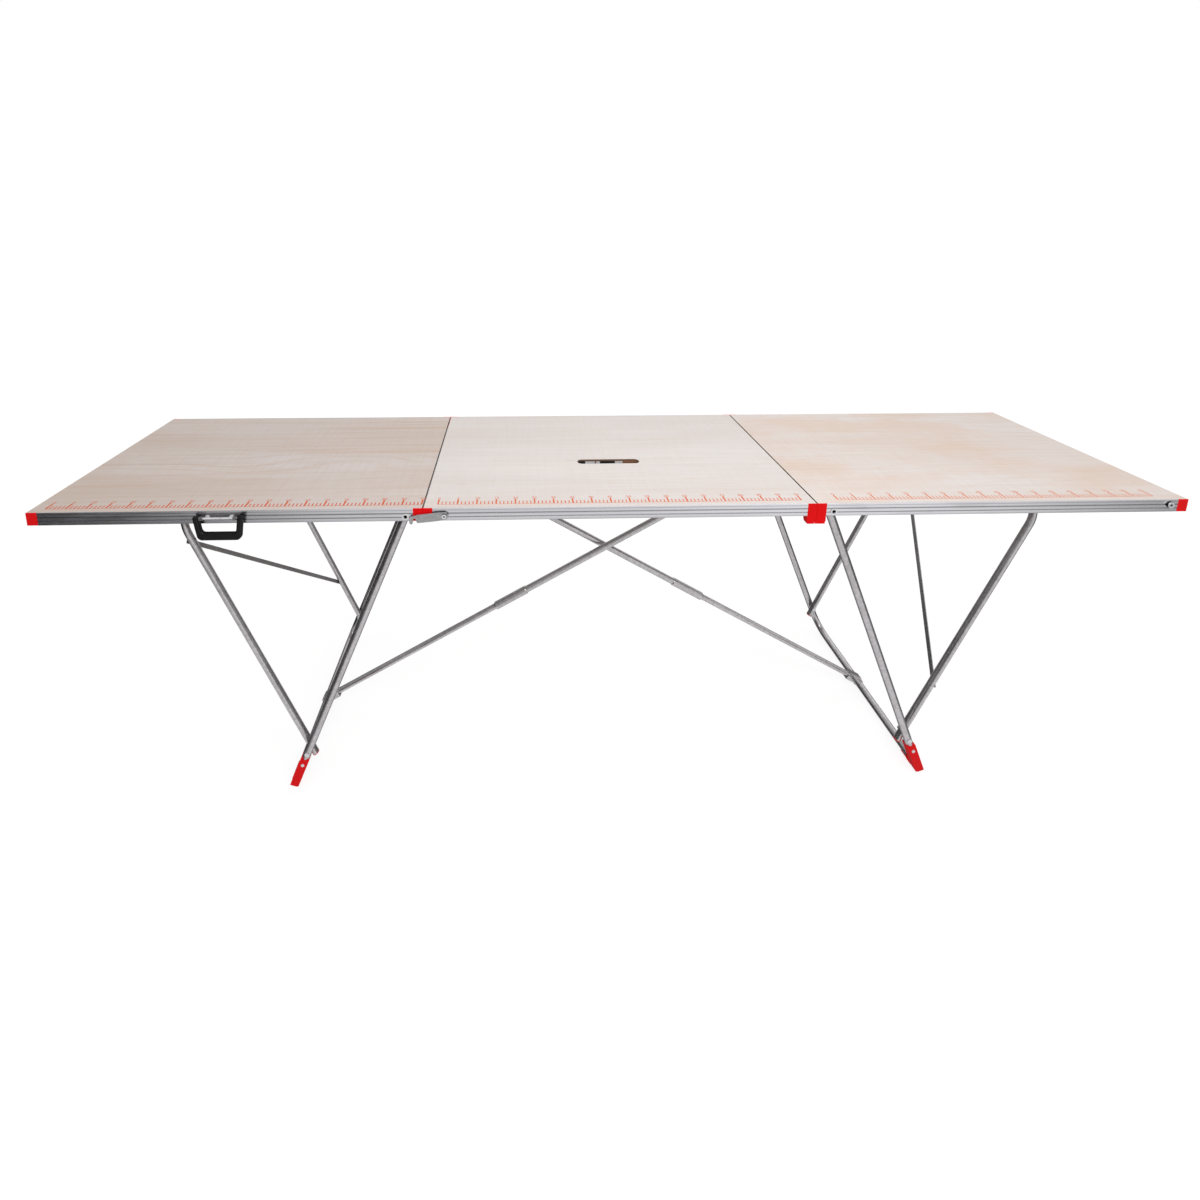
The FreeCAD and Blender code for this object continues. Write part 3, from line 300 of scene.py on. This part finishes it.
M = {
    "wood_left": plywood("plywood_left", srgb(211, 200, 195), srgb(205, 189, 178), srgb(216, 207, 204), 0.0, 0.55, 0.20, 0.50, 0.22),
    "wood_middle": plywood("plywood_middle", srgb(223, 216, 213), srgb(219, 208, 202), srgb(229, 224, 221), 7.3, 0.20, 0.12, 0.22, 0.10),
    "wood_right": plywood("plywood_right", srgb(225, 215, 210), srgb(221, 204, 193), srgb(228, 221, 218), 13.1, 0.26, 0.16, 0.26, 0.55),
    "aluminium_rail": extruded_aluminium("extruded_aluminium"),
    "wood_batten": raw_wood("raw_batten", srgb(150, 98, 66), srgb(92, 54, 36)),
    "red_plastic": moulded("red_plastic", srgb(250, 10, 17), srgb(238, 8, 14), 0.50, 0.06, 0.14),
    "galvanised_tube": galvanised("galvanised_tube", srgb(184, 181, 183), srgb(214, 211, 213), 0.25),
    "zinc_fastener": galvanised("zinc_fastener", srgb(216, 216, 218), srgb(240, 240, 241), 0.30, 0.5),
    "latch_grey": galvanised("latch_grey", srgb(172, 171, 172), srgb(194, 193, 194), 0.42),
    "black_plastic": moulded("black_plastic", srgb(26, 24, 24), srgb(17, 16, 16), 0.36, 0.10, 0.25),
}
# the print is densest on the left panel and palest on the right one
INK = {"left": ink("rule_ink_left", srgb(210, 80, 6)), "middle": ink("rule_ink_middle", srgb(217, 98, 48)), "right": ink("rule_ink_right", srgb(222, 118, 70))}

# the hollow rivets: bright heads, with painted shade darkening their holes
HOLLOW = {
    "left_leg_rivets": galvanised("rivet_left", srgb(222, 222, 224), srgb(244, 244, 245), 0.30, 0.4, 0.2998),
    "right_leg_rivets": galvanised("rivet_right", srgb(222, 222, 224), srgb(244, 244, 245), 0.30, 0.4, 0.2998),
    "latch_stud": galvanised("stud_zinc", srgb(222, 222, 224), srgb(244, 244, 245), 0.30, 0.4, 0.3032),
}
# the left stay and the bent handle plate: darker copies of the zinc than the tubes, painted shade
STAY_PAINTED_SHADE = galvanised("painted_shade_strip", srgb(150, 146, 146), srgb(176, 172, 172), 0.34)
HOLLOW["left_brace_stay"] = STAY_PAINTED_SHADE
# painted shade: the handle's base plate gets a much darker zinc than the other fasteners
HOLLOW["handle_base"] = galvanised("handle_plate_painted_shade", srgb(122, 119, 121), srgb(152, 149, 150), 0.30)
head_lo, head_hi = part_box("latch_rivet")
HOLLOW["latch_rivet"] = galvanised("latch_rivet", srgb(226, 226, 228), srgb(246, 246, 247), 0.28, 0.35,
                                   painted_dimple_shade=((head_lo.x + head_hi.x) / 2, (head_lo.z + head_hi.z) / 2, (head_hi.x - head_lo.x) / 2))
HOLLOW["handle_rivets"] = galvanised("handle_rivets", srgb(228, 228, 230), srgb(246, 246, 247), 0.26, 0.35)

slots = {p["node"]: p["material_slot"] for p in frame["record"]["subparts"]}
for name, obj in nodes.items():
    obj.data.materials.clear()
    obj.data.materials.append(HOLLOW.get(name) or M[slots[name]])


def soften(obj, width, segments=2, angle=35):
    b = obj.modifiers.new("edge_round", "BEVEL")
    b.width = width
    b.segments = segments
    b.limit_method = "ANGLE"
    b.angle_limit = math.radians(angle)
    b.use_clamp_overlap = True


for name, width in (("left_shoe", 0.0014), ("right_shoe", 0.0014), ("left_end_caps", 0.0008), ("right_end_caps", 0.0008),
                    ("latch_lever", 0.0005), ("left_board", 0.0004), ("middle_board", 0.0004), ("right_board", 0.0004)):
    soften(nodes[name], width)

# ------------------------------------------------------------------ printed rule
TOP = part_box("middle_board")[1].z
FILM = 0.00006
BASE_Y, SMALL_Y, BIG_Y = -0.281, -0.269, -0.2585


def add_box(bm, x0, x1, y0, y1, z0, z1):
    vs = [bm.verts.new(p) for p in ((x0, y0, z0), (x1, y0, z0), (x1, y1, z0), (x0, y1, z0), (x0, y0, z1), (x1, y0, z1), (x1, y1, z1), (x0, y1, z1))]
    for f in ((3, 2, 1, 0), (4, 5, 6, 7), (0, 1, 5, 4), (1, 2, 6, 5), (2, 3, 7, 6), (3, 0, 4, 7)):
        bm.faces.new([vs[i] for i in f])


def number_mesh(text, x, y, height):
    cu = bpy.data.curves.new("digits", "FONT")
    cu.body = text
    cu.size = height * 1.42
    cu.align_x = "CENTER"
    cu.extrude = FILM / 2
    cu.resolution_u = 2
    o = bpy.data.objects.new("digits", cu)
    scene.collection.objects.link(o)
    bpy.context.view_layer.update()
    me = bpy.data.meshes.new_from_object(o.evaluated_get(bpy.context.evaluated_depsgraph_get()))
    me.transform(Matrix.Translation((x, y, TOP + FILM / 2)))
    bpy.data.objects.remove(o)
    bpy.data.curves.remove(cu)
    return me


def rule(name, body, start, marks):
    """Centimetre rule on one panel: a long mark and a number each 5 cm, short marks between."""
    bm = bmesh.new()
    for i in range((marks - 1) * 5 + 1):
        x = start + i * 0.010
        big = i % 5 == 0
        half = (0.0023 if big else 0.0015) - (0.0 if name.startswith("left") else 0.0002)
        add_box(bm, x - half, x + half, BASE_Y, BIG_Y if big else SMALL_Y, TOP, TOP + FILM)
        if big:
            me = number_mesh(str(i), x, BIG_Y + 0.0006, 0.0100)
            bm.from_mesh(me)
            bpy.data.meshes.remove(me)
    add_box(bm, start, start + (marks - 1) * 0.05, BASE_Y - 0.0016, BASE_Y - 0.0004, TOP, TOP + FILM)
    mesh = bpy.data.meshes.new(name)
    bm.to_mesh(mesh)
    bm.free()
    mesh.materials.append(INK[name.split("_")[0]])
    o = bpy.data.objects.new(name, mesh)
    scene.collection.objects.link(o)
    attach(o, body)


rule("left_rule", "left_panel", -1.466, 20)
rule("middle_rule", "middle_panel", -0.4735, 20)
rule("right_rule", "right_panel", 0.5745, 18)

# ------------------------------------------------------------------ stage
def plain(name, color, rough=0.8):
    m = bpy.data.materials.new(name)
    m.use_nodes = True
    b = m.node_tree.nodes["Principled BSDF"]
    b.inputs["Base Color"].default_value = (*color, 1)
    b.inputs["Roughness"].default_value = rough
    b.inputs["Specular IOR Level"].default_value = 0.1
    return m


def sheet(name, x0, x1, y0, y1, z, material):
    me = bpy.data.meshes.new(name)
    me.from_pydata([(x0, y0, z), (x1, y0, z), (x1, y1, z), (x0, y1, z)], [], [(0, 1, 2, 3)])
    me.materials.append(material)
    o = bpy.data.objects.new(name, me)
    scene.collection.objects.link(o)
    return o


paper = plain("pale_floor", (0.22, 0.22, 0.22))
paper.node_tree.nodes["Principled BSDF"].inputs["Emission Color"].default_value = (1, 1, 1, 1)
paper.node_tree.nodes["Principled BSDF"].inputs["Emission Strength"].default_value = 0.84
floor = sheet("studio_floor", -30, 30, -30, 30, -0.0005, paper)
floor.visible_glossy = False      # the pieces are lit by the studio, not by a glowing floor
floor.visible_diffuse = False

# The studio: white to the camera and as soft light. What shiny pieces mirror has a darker side, as between soft boxes.
world = bpy.data.worlds.new("studio")
scene.world = world
world.use_nodes = True
wt = world.node_tree
for n in list(wt.nodes):
    wt.nodes.remove(n)


def wnode(kind, **values):
    n = wt.nodes.new(kind)
    for k, val in values.items():
        setattr(n, k, val)
    return n


def wramp(source, stops):
    n = wnode("ShaderNodeValToRGB")
    e = n.color_ramp.elements
    while len(e) < len(stops):
        e.new(0.5)
    for item, (pos, val) in zip(e, stops):
        item.position = pos
        item.color = (val, val, val, 1)
    half = wnode("ShaderNodeMapRange")
    half.inputs["From Min"].default_value = -1
    wt.links.new(source, half.inputs["Value"])
    wt.links.new(half.outputs["Result"], n.inputs["Fac"])
    return n.outputs["Color"]


way = wnode("ShaderNodeTexCoord")
axes = wnode("ShaderNodeSeparateXYZ")
wt.links.new(way.outputs["Generated"], axes.inputs["Vector"])
low = wramp(axes.outputs["X"], [(0.0, 0.0), (0.232, 0.0), (0.266, 0.12), (0.293, 0.34), (0.345, 0.70), (0.5, 0.74), (0.60, 0.72), (0.70, 0.90),
                                 (0.785, 1.0), (0.845, 0.74), (0.8675, 0.34), (0.90, 0.16), (1.0, 0.12)])
high = wramp(axes.outputs["X"], [(0.0, 0.36), (0.35, 0.52), (0.55, 0.80), (0.75, 1.0), (1.0, 1.0)])
lift = wramp(axes.outputs["Z"], [(0.46, 0.0), (0.57, 0.45), (0.72, 1.0)])
# the white floor in front, mirrored by what stands under the top, and the dark far side of the studio
glow = wramp(axes.outputs["Z"], [(0.15, 1.0), (0.25, 0.0)])
near = wnode("ShaderNodeMix", data_type="RGBA")
wt.links.new(glow, near.inputs["Factor"])
wt.links.new(low, near.inputs[6])
near.inputs[7].default_value = (0.86, 0.85, 0.86, 1)
far = wramp(axes.outputs["Y"], [(0.48, 1.0), (0.60, 0.50), (0.72, 0.24), (0.86, 0.30), (1.0, 0.45)])
dim = wnode("ShaderNodeMix", data_type="RGBA", blend_type="MULTIPLY")
dim.inputs["Factor"].default_value = 1.0
wt.links.new(near.outputs[2], dim.inputs[6])
wt.links.new(far, dim.inputs[7])
blend = wnode("ShaderNodeMix", data_type="RGBA")
wt.links.new(lift, blend.inputs["Factor"])
wt.links.new(dim.outputs[2], blend.inputs[6])
wt.links.new(high, blend.inputs[7])
mirror = wnode("ShaderNodeBackground")
wt.links.new(blend.outputs[2], mirror.inputs["Color"])
soft = wnode("ShaderNodeBackground")
below = wramp(axes.outputs["Z"], [(0.15, 0.30), (0.50, 0.58), (0.62, 0.80)])
path = wnode("ShaderNodeLightPath")
sky = wnode("ShaderNodeMix", data_type="RGBA")
wt.links.new(path.outputs["Is Camera Ray"], sky.inputs["Factor"])
wt.links.new(below, sky.inputs[6])
sky.inputs[7].default_value = (1, 1, 1, 1)
wt.links.new(sky.outputs[2], soft.inputs["Color"])
both = wnode("ShaderNodeMixShader")
wt.links.new(path.outputs["Is Glossy Ray"], both.inputs["Fac"])
wt.links.new(soft.outputs["Background"], both.inputs[1])
wt.links.new(mirror.outputs["Background"], both.inputs[2])
out = wnode("ShaderNodeOutputWorld")
wt.links.new(both.outputs["Shader"], out.inputs["Surface"])


def area(name, loc, target, sx, sy, watts, color=(1, 1, 1)):
    d = bpy.data.lights.new(name, "AREA")
    d.shape = "RECTANGLE"
    d.size, d.size_y = sx, sy
    d.energy = watts
    d.color = color
    o = bpy.data.objects.new(name, d)
    o.location = loc
    o.rotation_euler = (Vector(target) - Vector(loc)).to_track_quat("-Z", "Y").to_euler()
    scene.collection.objects.link(o)
    return o


area("key", (0.9, -1.0, 3.6), (0.6, 0, 0.6), 3.0, 2.5, 11)
area("front", (0.25, -1.25, 1.95), (0.25, -0.25, 0.85), 1.6, 0.5, 8.0)
area("back", (0.4, 3.2, 2.6), (0, 0, 0.8), 5.0, 1.2, 8)

# ------------------------------------------------------------------ camera
cam_data = bpy.data.cameras.new("camera")
cam = bpy.data.objects.new("camera", cam_data)
scene.collection.objects.link(cam)
scene.camera = cam
pitch, roll, yaw = 0.1744, 0.0016, -0.0245
cy, sy, cp, sp = math.cos(yaw), math.sin(yaw), math.cos(pitch), math.sin(pitch)
right = Vector((cy, sy, 0))
forward = Vector((-sy * cp, cy * cp, -sp))
up = Vector((-sy * sp, cy * sp, cp))
cr, sr = math.cos(roll), math.sin(roll)
right, up = right * cr + up * sr, up * cr - right * sr
rot = Matrix((right, up, -forward)).transposed().to_4x4()
cam.matrix_world = Matrix.Translation((-0.2664, -1.5797, 1.6391)) @ rot
cam_data.sensor_width = 36
cam_data.lens = 545.07 / 1200 * 36
cam_data.shift_x = (600 - 530.78) / 1200
cam_data.shift_y = (297.26 - 600) / 1200
cam_data.clip_start, cam_data.clip_end = 0.05, 100

scene.view_settings.view_transform = "Standard"
